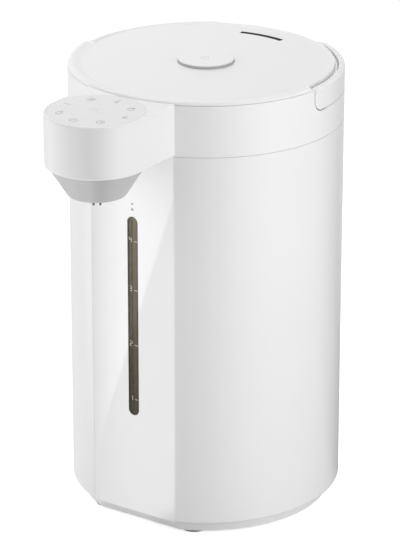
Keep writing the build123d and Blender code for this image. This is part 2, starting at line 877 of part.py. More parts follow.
def make_power_board():
    """Power board on four stand-offs, with its transformer, capacitor and relay."""
    low = floor_high + power_board_lift
    high = low + board_thickness
    half_x = power_board_width / 2
    half_y = power_board_depth / 2
    board = block(-half_x, half_x, power_board_y - half_y, power_board_y + half_y, low, high)
    for x in (standoff_margin - half_x, half_x - standoff_margin):
        for y in (standoff_margin - half_y, half_y - standoff_margin):
            board += disc(standoff_radius, floor_high, low, x, power_board_y + y)
    quarter = power_board_width / 4
    transformer = Pos(-quarter, power_board_y) * Rectangle(transformer_size, transformer_size)
    board += layer(transformer, high, high + transformer_height)
    board += disc(capacitor_radius, high, high + capacitor_height, quarter, power_board_y + capacitor_radius)
    relay = Pos(quarter, power_board_y - relay_width) * Rectangle(relay_length, relay_width)
    return board + layer(relay, high, high + relay_height)


def make_mains_inlet():
    """Appliance inlet flush with the rear of the shell, with its socket."""
    half_x = inlet_width / 2
    half_z = inlet_height / 2
    back = body_radius - inlet_depth
    body = block(-half_x, half_x, back, body_radius + overrun, inlet_z - half_z, inlet_z + half_z)
    body &= disc(body_radius, 0, far)
    flange_x = half_x + inlet_flange
    flange_z = half_z + inlet_flange
    seat = sqrt((shell_bore - loose_gap)**2 - flange_x**2) - inlet_flange_thickness
    flange = block(-flange_x, flange_x, seat, body_radius, inlet_z - flange_z, inlet_z + flange_z)
    body += flange & disc(shell_bore - loose_gap, 0, far)
    socket_x = half_x - inlet_rim
    socket_z = half_z - inlet_rim
    floor = body_radius - socket_depth
    body -= block(-socket_x, socket_x, floor, body_radius + overrun, inlet_z - socket_z, inlet_z + socket_z)
    for x_low, z_low in pin_corners():
        body -= block(x_low, x_low + pin_width, 0, body_radius, z_low, z_low + pin_height)
    return body


def pin_corners():
    """Lower corners of the three pins: two at the sides and one above in the middle."""
    places = [(-pin_pitch, -pin_height / 2), (pin_pitch, -pin_height / 2), (0, pin_height / 2)]
    return [(x - pin_width / 2, inlet_z + z - pin_height / 2) for x, z in places]


def make_inlet_pins():
    """Three contact pins through the floor of the socket."""
    floor = body_radius - socket_depth
    pins = []
    for x_low, z_low in pin_corners():
        tail = floor - inlet_depth + socket_depth - pin_tail
        pins.append(block(x_low, x_low + pin_width, tail, floor + pin_length, z_low, z_low + pin_height))
    return together(pins)


def make_lid_top():
    """Whole top of the lid: a rounded rim round a shallow field, narrower behind where the handle lies."""
    hole = button_radius + loose_gap
    step = lid_crest_radius - loose_gap
    corners = [
        (hole, field_low),
        (step, field_low),
        (step, lid_low),
        (body_radius, lid_low),
        (body_radius, lid_high),
        (lid_crest_radius, lid_high),
        (lid_field_radius, field_high),
        (hole, field_high),
    ]
    soft = lid_crest_radius - lid_field_radius
    lid = spun(corners, [0, 0, 0, 0, lid_edge - fit_gap, soft, soft, 0])
    narrow = [(0, 0), (lid_rear_radius, 0), (lid_rear_radius, lid_high), (0, lid_high)]
    return lid - (block(-far, far, lid_notch_y, far, 0, far) - spun(narrow, [0, 0, lid_rear_round, 0]))


def rim_space():
    """Space of the front rim: outside its seam and in front of the handle's ends."""
    return block(-far, far, -far, lid_notch_y, 0, far) - disc(lid_seam_radius, 0, far)


def make_lid_rim():
    """Rounded rim round the front of the lid."""
    return make_lid_top() & rim_space()


def make_lid_cover():
    """Top of the lid behind its rim, with a rib, screw bosses, the steam slot and the hinge knuckle."""
    lid = make_lid_top() - rim_space()
    rib = ring(lid_rib_radius, lid_rib_radius - lid_rib_wall, field_low - lid_rib_drop, field_low)
    rib &= block(-far, far, -far, hinge_y - lid_rib_break, 0, far)
    half = latch_width / 2 + loose_gap
    rib -= block(-half, half, -far, 0, 0, far)
    lid += rib
    for x, y in lid_screw_places():
        lid += disc(lid_boss_radius, latch_floor, field_low, x, y)
        lid -= disc(screw_radius + fit_gap, latch_floor - overrun, field_low, x, y)
    outer = slot_radius + slot_width / 2
    slot = ring(outer, outer - slot_width, field_low - overrun, lid_high + overrun)
    lid -= slot & sector(far, slot_angle, 0, far)
    lid += along_x(knuckle_radius, -knuckle_half, knuckle_half, hinge_y, hinge_z)
    lid -= along_x(hinge_pin_radius + running_gap, -far, far, hinge_y, hinge_z)
    for side in (-1, 1):
        lid -= make_lug_pocket(side)
    return lid


def lid_screw_places():
    """Four screws, clear of the latch in front and the vent behind."""
    return around(4, lid_screw_circle, 45)


def make_lug_pocket(side):
    """Room in the lid for one ear of the hinge, all through the swing."""
    near = side * (knuckle_half + lug_gap - loose_gap)
    far_side = side * (knuckle_half + lug_gap + lug_width + loose_gap)
    room = knuckle_radius + loose_gap
    return block(min(near, far_side), max(near, far_side), hinge_y - room, far, 0, hinge_z + room)


def make_lid_liner():
    """Inside of the lid: a plate with the plug that enters the pot and the well of the button."""
    plate = ring(liner_radius, well_radius, liner_low, latch_floor)
    plug = ring(plug_radius, plug_radius - plug_wall, plug_low, liner_low)
    well = ring(well_radius, well_radius - well_wall, well_low, latch_floor)
    liner = plate + plug + well + disc(well_radius, well_low, well_low + well_floor)
    for side in (-1, 1):
        near = side * (latch_width / 2 + loose_gap)
        away = near + side * well_wall
        front = well_wall - liner_radius
        liner += block(min(near, away), max(near, away), front, -well_radius, latch_floor, latch_high)
    for x, y in lid_screw_places():
        liner -= disc(screw_radius + fit_gap, liner_low - overrun, latch_floor + overrun, x, y)
    steam_y = slot_radius - slot_width - vent_tray_margin
    return liner - disc(steam_hole_radius, liner_low - overrun, latch_floor + overrun, y=steam_y)


def make_lid_inner_plate():
    """Stainless plate that closes the plug, with its ring of steam holes."""
    plate = disc(plug_radius, plug_low - inner_plate_thickness, plug_low)
    for x, y in around(steam_hole_count, steam_hole_circle, 90):
        plate -= disc(steam_hole_radius, plug_low - far, plug_low + overrun, x, y)
    return plate


def make_lid_seal():
    """Soft ring under the liner, above the deck of the collar."""
    low = deck_high + loose_gap
    inner = seal_radius - seal_width
    taper = seal_width / 4
    corners = [(inner, liner_low), (seal_radius, liner_low), (seal_radius - taper, low), (inner + taper, low)]
    return spun(corners, 0)


def make_steam_vent():
    """Drip tray under the steam slot, open on its inner side to the steam from the liner."""
    outer = slot_radius + slot_width / 2 + vent_tray_margin
    inner = slot_radius - slot_width / 2 - vent_tray_margin
    angle = slot_angle + vent_tray_angle
    tray = ring(outer, inner, latch_floor, field_low) & sector(far, angle, 0, far)
    hollow = ring(outer - vent_tray_wall, inner - overrun, latch_floor + vent_tray_wall, far)
    tray -= hollow & sector(far, slot_angle + vent_tray_angle / 2, 0, far)
    return tray - disc(steam_hole_radius / 2, 0, far, y=inner + steam_hole_radius)


def make_lid_screws():
    """Screws that hold the liner to the lid cover."""
    head_low = liner_low - screw_head_height
    return together([make_screw(x, y, head_low, lid_screw_length) for x, y in lid_screw_places()])


def make_lid_button():
    """Round cap with a stem, and a wedge on the stem that draws the latch back."""
    low = button_high - button_skirt
    corners = [(0, low), (button_radius, low), (button_radius, button_high), (0, button_high)]
    cap = spun(corners, [0, 0, button_edge_round, 0])
    under = button_high - button_top
    cap -= disc(button_radius - button_wall, low - overrun, under)
    half = latch_width / 2 + loose_gap
    cap -= block(-half, half, -far, -stem_depth, low - overrun, latch_high + button_travel + loose_gap)
    cap += block(-stem_width / 2, stem_width / 2, -stem_depth / 2, stem_depth / 2, stem_low, under)
    face = stem_depth / 2
    wedge_low = latch_high - button_travel
    tip = face + latch_ratio * (under - wedge_low)
    wedge = make_face(Polyline((face, wedge_low), (face, under), (tip, under), close=True))
    return cap + extrude(Plane.YZ * wedge, amount=stem_width / 2, both=True)


def make_lid_latch():
    """Bar on the liner, with a nose in front and a frame round the button's stem."""
    half = latch_width / 2
    back = stem_depth / 2 + latch_ratio * button_travel + loose_gap
    front = -stem_depth / 2 - latch_travel - loose_gap
    nose = ring_bore + latch_nose
    bar = block(-half, half, -nose, back + latch_frame, latch_low, latch_high)
    window = stem_width / 2 + loose_gap
    return bar - block(-window, window, front, back, latch_low - overrun, latch_high + overrun)


def make_button_spring():
    """Return spring between the floor of the well and the foot of the stem."""
    low = well_low + well_floor + spring_wire + fit_gap
    high = stem_low - spring_wire - fit_gap
    path = Helix(pitch=(high - low) / spring_turns, height=high - low, radius=spring_radius)
    path = Pos(0, 0, low) * path
    start = Plane(origin=path @ 0, z_dir=path % 0)
    return sweep(start * Circle(spring_wire), path=path, is_frenet=True)


def make_handle():
    """Half-ring carrying handle, folded round the rear of the lid, with a finger scoop behind."""
    corners = [
        (handle_bore, handle_low),
        (body_radius, handle_low),
        (body_radius, handle_high),
        (handle_bore, handle_high),
    ]
    rounds = [handle_inner_round, handle_inner_round, handle_outer_round, handle_inner_round]
    outline = [(-handle_lead, handle_low), (far, handle_low), (far, handle_high), (-handle_lead, handle_high)]
    handle = spun(corners, rounds) & side_slab(outline, [handle_end_round, 0, 0, handle_top_round])
    scoop_radius = (scoop_half**2 + scoop_depth**2) / (2 * scoop_depth)
    face = Plane(origin=(0, 0, handle_high - scoop_depth + scoop_radius), x_dir=(1, 0, 0), z_dir=(0, 1, 0))
    handle -= extrude(face * Circle(scoop_radius), amount=far)
    for side in (-1, 1):
        handle -= across(pivot_radius + running_gap, side, 0, handle_bore + pivot_depth + fit_gap)
    return handle


def make_handle_pivots():
    """Two pins through the recess wall into the ends of the handle."""
    pins = []
    for side in (-1, 1):
        seat = pivot_seat()
        head = across(pivot_head_radius, side, seat - pivot_head_thickness, seat)
        pins.append(head + across(pivot_radius, side, seat, handle_bore + pivot_depth))
    return together(pins)


pieces = {
    "outer_shell": make_outer_shell(),
    "front_panel": make_front_panel(),
    "level_window": make_level_window(),
    "level_channel": make_level_channel(),
    "level_tube": make_level_tube(),
    "base_plate": make_base_plate(),
    "rubber_feet": make_rubber_feet(),
    "base_screws": make_base_screws(),
    "collar": make_collar(),
    "spout_cone": make_spout_cone(),
    "outlet_nozzle": make_outlet_nozzle(),
    "touch_panel": make_touch_panel(),
    "control_board": make_control_board(),
    "upper_hose": make_upper_hose(),
    "lower_hose": make_lower_hose(),
    "inlet_hose": make_inlet_hose(),
    "inner_pot": make_inner_pot(),
    "pot_floor": make_pot_floor(),
    "insulation_jacket": make_insulation_jacket(),
    "pot_support": make_pot_support(),
    "heater_plate": make_heater_plate(),
    "thermal_cutouts": make_thermal_cutouts(),
    "temperature_sensor": make_temperature_sensor(),
    "pump_housing": make_pump_housing(),
    "pump_motor": make_pump_motor(),
    "pump_impeller": make_pump_impeller(),
    "power_board": make_power_board(),
    "mains_inlet": make_mains_inlet(),
    "inlet_pins": make_inlet_pins(),
    "hinge_pin": make_hinge_pin(),
    "handle_pivots": make_handle_pivots(),
    "lid_cover": make_lid_cover(),
    "lid_rim": make_lid_rim(),
    "lid_liner": make_lid_liner(),
    "lid_inner_plate": make_lid_inner_plate(),
    "lid_seal": make_lid_seal(),
    "steam_vent": make_steam_vent(),
    "lid_screws": make_lid_screws(),
    "lid_button": make_lid_button(),
    "button_spring": make_button_spring(),
    "lid_latch": make_lid_latch(),
    "handle": make_handle(),
}

os.makedirs("parts", exist_ok=True)
for name, piece in pieces.items():
    export_step(Pos(0, frame_shift, 0) * piece, f"parts/{name}.step")
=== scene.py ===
# %% [markdown]
# # Hot water dispenser
# A white pot that heats water and pumps it out through a spout on its head. Its solids come ready
# made, in metres, with +Z up and the spout towards -Y. What is added here is what a camera sees and
# a solid does not hold: a finish for every piece, the marks printed on them, and a small studio.

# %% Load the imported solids
import json

import bmesh
import bpy
import numpy as np
from mathutils import Matrix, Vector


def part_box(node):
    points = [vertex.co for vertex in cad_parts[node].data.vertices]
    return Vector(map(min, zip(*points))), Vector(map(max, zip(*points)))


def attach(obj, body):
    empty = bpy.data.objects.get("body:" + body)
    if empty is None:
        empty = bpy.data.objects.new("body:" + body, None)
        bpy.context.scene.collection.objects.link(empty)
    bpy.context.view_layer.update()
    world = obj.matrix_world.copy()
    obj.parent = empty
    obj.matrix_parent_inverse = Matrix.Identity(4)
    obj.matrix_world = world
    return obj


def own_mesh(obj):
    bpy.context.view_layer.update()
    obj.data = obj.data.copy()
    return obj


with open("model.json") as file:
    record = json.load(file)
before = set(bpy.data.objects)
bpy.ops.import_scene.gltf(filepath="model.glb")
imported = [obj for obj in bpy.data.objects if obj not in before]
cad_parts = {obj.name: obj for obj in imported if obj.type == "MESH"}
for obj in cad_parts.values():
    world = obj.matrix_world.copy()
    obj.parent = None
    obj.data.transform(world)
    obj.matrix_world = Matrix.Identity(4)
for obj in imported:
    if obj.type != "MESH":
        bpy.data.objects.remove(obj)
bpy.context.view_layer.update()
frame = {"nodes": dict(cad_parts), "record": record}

millimetre = 0.001

# %% [markdown]
# ## Where things are
# The places that several steps share are measured on the solids, by the box round a piece. The body is
# a cylinder cut off flat in front: the width of its shell gives the radius, and its rear gives the axis.

# %% Measure the body
shell_low, shell_high = (np.array(corner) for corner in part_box("outer_shell"))
body_radius = (shell_high[0] - shell_low[0]) / 2
body_axis = np.array([0.0, shell_high[1] - body_radius, 0.0])
panel_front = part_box("front_panel")[0][1]
touch_low, touch_high = (np.array(corner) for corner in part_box("touch_panel"))
touch_middle = np.array([0.0, (touch_low[1] + touch_high[1]) / 2, touch_high[2]])
button_top = np.array([0.0, body_axis[1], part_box("lid_button")[1][2]])
print("body radius", round(body_radius, 4), "axis at y", round(body_axis[1], 4))
print("panel at y", round(panel_front, 4))

# %% [markdown]
# ## Camera
# A product photograph is taken from far away with a long lens, so that upright edges stay parallel.
# The camera stands to the right of the spout and looks down on the lid. Its frame is built from three
# directions, right, up and back, which are the columns of its matrix. A lens is given in millimetres
# for a sensor of a given height, so a focal length in pixels has to be scaled by that height.

# %% Place the camera
image_height = 556  # pixels
focal_length = 3236.0  # pixels
sensor_height = 36.0  # millimetres
camera_azimuth, camera_elevation = np.radians(34.19), np.radians(21.49)
camera_distance = 2.392
aim_sideways, aim_height = -0.0044, 0.1642


def facing(azimuth, elevation=0.0):
    """Unit vector away from the object: azimuth 0 is in front of the spout, a quarter turn is +X."""
    flat = np.cos(elevation)
    return np.array([np.sin(azimuth) * flat, -np.cos(azimuth) * flat, np.sin(elevation)])


def upright_frame(back):
    """Right, up and back directions of something that looks along -back and keeps its sides upright."""
    right = np.cross([0.0, 0.0, 1.0], back)
    right = right / np.linalg.norm(right)
    return right, np.cross(back, right), back


def placed(directions, place):
    """World matrix with the three directions as its columns."""
    matrix = np.eye(4)
    matrix[:3, :3] = np.column_stack(directions)
    matrix[:3, 3] = place
    return Matrix(matrix.tolist())


camera_frame = upright_frame(facing(camera_azimuth, camera_elevation))
camera_aim = body_axis + camera_frame[0] * aim_sideways + np.array([0.0, 0.0, aim_height])
camera_data = bpy.data.cameras.new("studio_camera")
camera_data.sensor_fit = "VERTICAL"
camera_data.sensor_height = sensor_height
camera_data.lens = sensor_height * focal_length / image_height
camera = bpy.data.objects.new("studio_camera", camera_data)
camera_place = camera_aim + camera_frame[2] * camera_distance
camera.matrix_world = placed(camera_frame, camera_place)
bpy.context.scene.collection.objects.link(camera)
bpy.context.scene.camera = camera
bpy.context.scene.view_settings.view_transform = "Standard"
print("lens", round(camera_data.lens, 1), "mm, camera at", camera_place.round(3))

# %% [markdown]
# ## Writing shaders as sums
# Nodes are easier to read as arithmetic. A `Wire` is one output socket, and adding or multiplying two
# wires lays out the Math node that does it. A `Board` is a node tree, and its one method `node` makes
# any node: the settings come first, because some of them change which sockets a node has.

# %% Wire


class Wire:
    """An output socket of a node tree. Arithmetic on it adds Math nodes."""

    def __init__(self, board, socket):
        self.board = board
        self.socket = socket

    def math(self, operation, first, second):
        return self.board.node("ShaderNodeMath", {"operation": operation}, {0: first, 1: second})

    def __add__(self, other):
        return self.math("ADD", self, other)

    def __radd__(self, other):
        return self.math("ADD", other, self)

    def __sub__(self, other):
        return self.math("SUBTRACT", self, other)

    def __rsub__(self, other):
        return self.math("SUBTRACT", other, self)

    def __mul__(self, other):
        return self.math("MULTIPLY", self, other)

    def __rmul__(self, other):
        return self.math("MULTIPLY", other, self)

    def __pow__(self, power):
        return self.math("POWER", self, power)

    def larger(self, other):
        return self.math("MAXIMUM", self, other)

    def above(self, level):
        return self.math("GREATER_THAN", self, level)


# %% Board


class Board:
    """A node tree that is being laid out."""

    def __init__(self, tree):
        self.tree = tree
        self.tree.nodes.clear()

    def node(self, kind, settings=None, sockets=None, output=0):
        """Adds a node, sets its settings, then its sockets, and returns one of its outputs as a Wire."""
        made = self.tree.nodes.new(kind)
        for name, value in (settings or {}).items():
            if name == "stops":
                ramp = made.color_ramp
                while len(ramp.elements) < len(value):
                    ramp.elements.new(1.0)
                for element, (place, colour) in zip(ramp.elements, value):
                    element.position = place
                    element.color = (*colour, 1.0)
            else:
                setattr(made, name, value)
        for name, value in (sockets or {}).items():
            if isinstance(value, Wire):
                self.tree.links.new(value.socket, made.inputs[name])
            else:
                made.inputs[name].default_value = value
        return Wire(self, made.outputs[output] if len(made.outputs) else None)


def grey(value):
    return (value, value, value)


# %% [markdown]
# ## Surfaces from grids
# Each new piece is worked out as one array of points in rows and columns, and every cell of that grid
# becomes a quad. A profile that is carried along a path gives such a grid too. The points hold the place
# of the piece, so its object stays at the origin.

# %% A mesh from a grid


def surface(name, points, across_closed=False, along_closed=False, capped=False):
    """Mesh of a grid of points, an array of (rows, columns, 3): each cell becomes one quad.

    A closed direction joins its last line of points to its first. Caps close the first and the last row.
    """
    rows, columns = points.shape[:2]
    number = np.arange(rows * columns).reshape(rows, columns)
    caps = [number[0].tolist(), number[-1].tolist()] if capped else []
    if along_closed:
        number = np.vstack([number, number[:1]])
    if across_closed:
        number = np.hstack([number, number[:, :1]])
    corners = [number[:-1, :-1], number[1:, :-1], number[1:, 1:], number[:-1, 1:]]
    quads = np.stack(corners, axis=-1).reshape(-1, 4)
    mesh = bpy.data.meshes.new(name)
    mesh.from_pydata(points.reshape(-1, 3).tolist(), [], quads.tolist() + caps)
    shape = bmesh.new()
    shape.from_mesh(mesh)
    bmesh.ops.recalc_face_normals(shape, faces=shape.faces)
    shape.to_mesh(mesh)
    shape.free()
    piece = bpy.data.objects.new(name, mesh)
    bpy.context.scene.collection.objects.link(piece)
    return piece


# %% [markdown]
# ## Floor and backdrop
# The object stands on a pale floor in front of a white backdrop. If the floor had to turn white by
# light alone, the white pot on it would burn out, so the floor lends itself a little light, but only
# to rays that come from the lens or through a glass. All other rays see a plain floor, and the contact
# shadow under the base stays.

# %% Lay the floor
floor_half, floor_lines = 4.0, 9
floor_colour = 0.82
floor_glow = 0.67


def ray(board, kind):
    """1 for rays of one kind, such as Camera, and 0 for all others."""
    return board.node("ShaderNodeLightPath", output=f"Is {kind} Ray")


steps = np.linspace(-floor_half, floor_half, floor_lines)
floor_x, floor_y = np.meshgrid(steps, steps, indexing="ij")
floor = surface("studio_floor", np.stack([floor_x, floor_y, np.zeros_like(floor_x)], axis=-1))
floor_paint = bpy.data.materials.new("studio_floor")
floor_paint.use_nodes = True
board = Board(floor_paint.node_tree)
plain = board.node("ShaderNodeBsdfDiffuse", sockets={"Color": (*grey(floor_colour), 1.0)})
glow = board.node("ShaderNodeEmission", sockets={"Strength": floor_glow})
lit = board.node("ShaderNodeAddShader", sockets={0: plain, 1: glow})
seen = ray(board, "Camera").larger(ray(board, "Transmission"))
shown = board.node("ShaderNodeMixShader", sockets={0: seen, 1: plain, 2: lit})
print("floor", 2 * floor_half, "m wide")

# %% [markdown]
# ### Cards
# The lens looks down, so an upright glossy wall mirrors the floor and not the lamps. On such a set, white
# cards lie on the floor at the left and the right, and a dark one in front. The straight edge of the left
# card is the slanting line of light on the flat panel. The dark card is the grey band on every round wall.
# No cards stand here: the floor itself glows in their tones, and only to rays that come from a glossy
# surface, so the cards are painted reflections.

# %% Tones of the cards
card_light = 5.0
panel_card_edges = (-36.0, -28.6)  # directions round the body, degrees
# By where it shows on the panel, in metres: tone of the left card, and share of the tone past its edge.
panel_card = {-0.036: 0.16, -0.025: 0.52, -0.011: 0.86, 0.003: 0.98, 0.036: 0.90}
panel_shade = {-0.036: 0.35, -0.022: 0.60, -0.012: 0.82, 0.0: 0.93, 0.02: 1.0}
# By direction in degrees: tones farther to the left, round the head, and of all else, round the body.
left_card = {-180: 0.14, -96: 0.16, -80: 0.46, -36: 0.58, 180: 0.58}
other_cards = {-180: 0.144, -30: 0.56, 1: 0.54, 8: 0.0, 24: 0.0, 62: 0.26, 110: 0.108, 180: 0.144}
print("cards from", min(panel_card.values()), "to", max(panel_card.values()), "times", card_light)

# %% Where a point of the floor lies and shows


def place_wires(board, axes):
    """Coordinates of a point in the object's own frame, one wire for each of the named axes."""
    place = board.node("ShaderNodeTexCoord", output="Object")
    return [board.node("ShaderNodeSeparateXYZ", sockets={0: place}, output=axis) for axis in axes]


def direction_round(board, axis):
    """Where a point lies round an upright axis, in degrees: 0 is towards -Y, 90 is towards +X."""
    x, y = place_wires(board, "XY")
    return x.math("ARCTAN2", x, float(axis[1]) - y) * float(np.degrees(1.0))


def shown_on_panel(board):
    """X of the place on the panel where a point of the floor shows.

    It lies on the line from that point to the mirror image of the camera behind the panel.
    """
    x, y = place_wires(board, "XY")
    mirror_x = float(camera_place[0])
    behind = float(panel_front - camera_place[1])
    return mirror_x + (x - mirror_x) * behind * (float(panel_front) + behind - y) ** -1.0


def toned(board, amount, tones):
    """Grey that runs through `tones`, a table of grey by amount, and stays the same past its ends."""
    first, last = min(tones), max(tones)
    stops = [((key - first) / (last - first), grey(tone)) for key, tone in tones.items()]
    share = (amount - first) * (1 / (last - first))
    return board.node("ShaderNodeValToRGB", {"stops": stops}, {"Fac": share})


def card_reflection_glow(board, tone):
    """Glow of a card of the given tone: a painted reflection, which only glossy rays see."""
    return board.node("ShaderNodeEmission", sockets={"Color": tone, "Strength": card_light})


# %% Paint the cards on the floor
# Painted reflections: the floor glows in the card tones only for glossy rays, placed by where each point
# shows on the panel.
turn = direction_round(board, body_axis)
shows_at = shown_on_panel(board)
on_panel = card_reflection_glow(board, toned(board, shows_at, panel_card))
on_left = card_reflection_glow(board, toned(board, direction_round(board, touch_middle), left_card))
elsewhere = card_reflection_glow(board, toned(board, turn, other_cards) * toned(board, shows_at, panel_shade))
card_start, card_end = (turn.above(edge) for edge in panel_card_edges)
cards = board.node("ShaderNodeMixShader", sockets={0: card_start, 1: on_left, 2: on_panel})
cards = board.node("ShaderNodeMixShader", sockets={0: card_end, 1: cards, 2: elsewhere})
whole = board.node("ShaderNodeMixShader", sockets={0: ray(board, "Glossy"), 1: shown, 2: cards})
board.node("ShaderNodeOutputMaterial", sockets={"Surface": whole})
floor.data.materials.append(floor_paint)
print("floor nodes:", len(floor_paint.node_tree.nodes))

# %% [markdown]
# ### Backdrop
# The room is white to the lens and through glass. As a light it is dimmer, so that it only fills the
# shadows, and a gloss sees it a little darker than white, so that pale walls keep their tone.

# %% Paint the room
room_light = 0.352
room_gloss = 0.8

world = bpy.data.worlds.new("studio_room")
world.use_nodes = True
board = Board(world.node_tree)
seen = ray(board, "Camera").larger(ray(board, "Transmission"))
unseen = room_light + (room_gloss - room_light) * ray(board, "Glossy")
strength = seen + (1 - seen) * unseen
room = board.node("ShaderNodeBackground", sockets={"Color": (*grey(1.0), 1.0), "Strength": strength})
board.node("ShaderNodeOutputWorld", sockets={"Surface": room})
bpy.context.scene.world = world
print("room light", room_light)

# %% [markdown]
# ## Lights
# White on white is drawn by what is left dark. Tall softboxes stand close to the left, the rear and the
# right, and nothing stands in front, so each round wall keeps a soft grey band where it faces the
# empty gap between them. A fourth one overhead lights the lid. The gloss shows the cards on the floor,
# so the softboxes themselves are kept out of it.

# %% Hang the softboxes
lamp_distance = 0.66  # from the body's axis
overhead_place = body_axis + [-0.25, 0.1, 1.25]


def standing(azimuth, middle_height):
    """World matrix of an upright lamp on a circle round the body, facing the body's axis."""
    away = facing(np.radians(azimuth))
    return placed(upright_frame(away), body_axis + away * lamp_distance + [0.0, 0.0, middle_height])


def softbox(name, matrix, width, height, power):
    """Rectangular area light, which shines along its own -Z."""
    data = bpy.data.lights.new(name, "AREA")
    data.shape = "RECTANGLE"
    data.size = width
    data.size_y = height
    data.energy = power
    lamp = bpy.data.objects.new(name, data)
    lamp.matrix_world = matrix
    lamp.visible_camera = False
    lamp.visible_glossy = False
    bpy.context.scene.collection.objects.link(lamp)


softbox("left_softbox", standing(azimuth=-52.0, middle_height=0.36), width=0.75, height=0.80, power=2.5)
softbox("rear_softbox", standing(azimuth=-115.0, middle_height=0.46), width=0.50, height=0.90, power=1.4)
softbox("right_softbox", standing(azimuth=78.0, middle_height=0.46), width=0.50, height=0.90, power=3.0)
softbox("overhead_softbox", placed(np.eye(3), overhead_place), width=0.80, height=0.80, power=4.8)

# %% [markdown]
# ## Finishes
# A finish is one Principled shader. What is the same all over it is set straight on its sockets, and
# what changes over the surface comes from noise in the object's own coordinates, so that it stays put
# when the piece moves. `finishes` collects them by the name of the material slot that they fill.

# %% Helpers for finishes
finishes = {}


def finish(name, varying, **constant):
    """Material with one Principled shader. `varying` takes a Board and returns what feeds its sockets."""
    material = bpy.data.materials.new(name)
    material.use_nodes = True
    board = Board(material.node_tree)
    named = {key.replace("_", " ").title().replace("Ior", "IOR"): value for key, value in constant.items()}
    sockets = {**named, **varying(board)}
    shader = board.node("ShaderNodeBsdfPrincipled", sockets=sockets)
    board.node("ShaderNodeOutputMaterial", sockets={"Surface": shader})
    finishes[name] = material
    return material


def place_on(board, stretch=(1.0, 1.0, 1.0)):
    """Object coordinates, stretched along each axis."""
    place = board.node("ShaderNodeTexCoord", output="Object")
    return board.node("ShaderNodeMapping", sockets={"Vector": place, "Scale": stretch})


def mottle(board, size, detail=2.0, stretch=(1.0, 1.0, 1.0)):
    """Noise between 0 and 1 whose blotches are about `size` metres across."""
    sockets = {"Vector": place_on(board, stretch), "Scale": 1 / size, "Detail": detail}
    return board.node("ShaderNodeTexNoise", sockets=sockets)


def tint(board, amount, *colours):
    """Colour that runs through the given colours as amount goes from 0 to 1."""
    stops = [(index / (len(colours) - 1), colour) for index, colour in enumerate(colours)]
    return board.node("ShaderNodeValToRGB", {"stops": stops}, {"Fac": amount})


def relief(board, height, depth):
    """Normal of a surface that rises by `depth` metres as height goes from 0 to 1."""
    return board.node("ShaderNodeBump", sockets={"Height": height, "Distance": depth, "Strength": 1.0})


# %% [markdown]
# ### White enamel and white mouldings
# The shell is steel with baked white enamel. Enamel flows a little before it sets, which leaves ripples
# of about two millimetres, known as orange peel. The collar, lid and handle are moulded plastic with a
# finer grain and less gloss. The front panel is moulded in a polished tool, so it has no grain, only a
# long, faint wave, and it mirrors the cards. All three are a little uneven in tone, or they would look
# like plaster.

# %% Whites


def enamel(board):
    cloud = mottle(board, size=0.09)
    ripple = mottle(board, size=0.0022, detail=1.0)
    return {
        "Base Color": tint(board, cloud, grey(0.835), grey(0.855)),
        "Roughness": 0.30 + 0.05 * cloud,
        "Normal": relief(board, ripple, depth=0.000004),
    }


def moulding(board):
    cloud = mottle(board, size=0.06)
    grain = mottle(board, size=0.0006, detail=3.0)
    return {
        "Base Color": tint(board, cloud, grey(0.845), grey(0.865)),
        "Roughness": 0.36 + 0.06 * grain,
        "Normal": relief(board, grain, depth=0.000003),
    }


def gloss_panel(board):
    cloud = mottle(board, size=0.08)
    wave = mottle(board, size=0.05, detail=1.0)
    return {
        "Base Color": tint(board, cloud, grey(0.91), grey(0.93)),
        "Roughness": 0.015 + 0.01 * cloud,
        "Normal": relief(board, wave, depth=0.00001),
    }


finish("shell_white", enamel, coat_weight=0.5, coat_roughness=0.22)
finish("moulding_white", moulding, coat_weight=0.4, coat_roughness=0.28)
finish("panel_gloss", gloss_panel, specular_ior_level=0.6)
print("whites:", list(finishes))

# %% [markdown]
# ### Greys
# The touch panel, the button and the base are plastic too, each with its own grain: the coarser the grain,
# the softer the highlight. The touch panel and the base have their own grey. The cone of the spout is the
# head's white plastic, given a mid grey here: painted shade, for the shade it lies in as it faces down.

# %% Greys


def grained(low, high, grain_size, depth, rough):
    """Plastic whose tone drifts between two greys and whose surface is etched with fine grain."""

    def varying(board):
        cloud = mottle(board, size=0.05)
        grain = mottle(board, size=grain_size, detail=3.0)
        return {
            "Base Color": tint(board, 0.7 * cloud + 0.3 * grain, grey(low), grey(high)),
            "Roughness": rough + 0.08 * grain,
            "Normal": relief(board, grain, depth),
        }

    return varying


# Two tones, size and depth of the grain in metres, and roughness.
# Painted shade: the cone is the head's white plastic, darkened to a mid grey for the shade under the head.
finish("cone_grey", grained(0.50, 0.54, 0.0005, 0.000006, 0.4), coat_weight=0.3, coat_roughness=0.25)
finish("touch_grey", grained(0.78, 0.82, 0.0004, 0.000002, 0.24), coat_weight=0.5, coat_roughness=0.1)
finish("base_grey", grained(0.83, 0.87, 0.0008, 0.00001, 0.5))
finish("rubber_dark", grained(0.30, 0.36, 0.0010, 0.00002, 0.75))
finish("channel_dark", grained(0.070, 0.085, 0.0008, 0.00001, 0.6))
finish("vent_dark", grained(0.09, 0.12, 0.0008, 0.00001, 0.6))
finish("pump_black", grained(0.035, 0.055, 0.0007, 0.00001, 0.5))
finish("inlet_black", grained(0.03, 0.045, 0.0007, 0.000008, 0.45))
print("greys and blacks:", [name for name in finishes if name.endswith(("grey", "dark", "black"))])

# %% [markdown]
# ### Button
# The button's top is white, and its side wall is painted grey: painted shade, for the shade on that wall.
# Top and side are one solid here, so the tone changes with the depth under the cap's top.

# %% Button with a painted shade on its side
cap_depth = 0.5 * millimetre


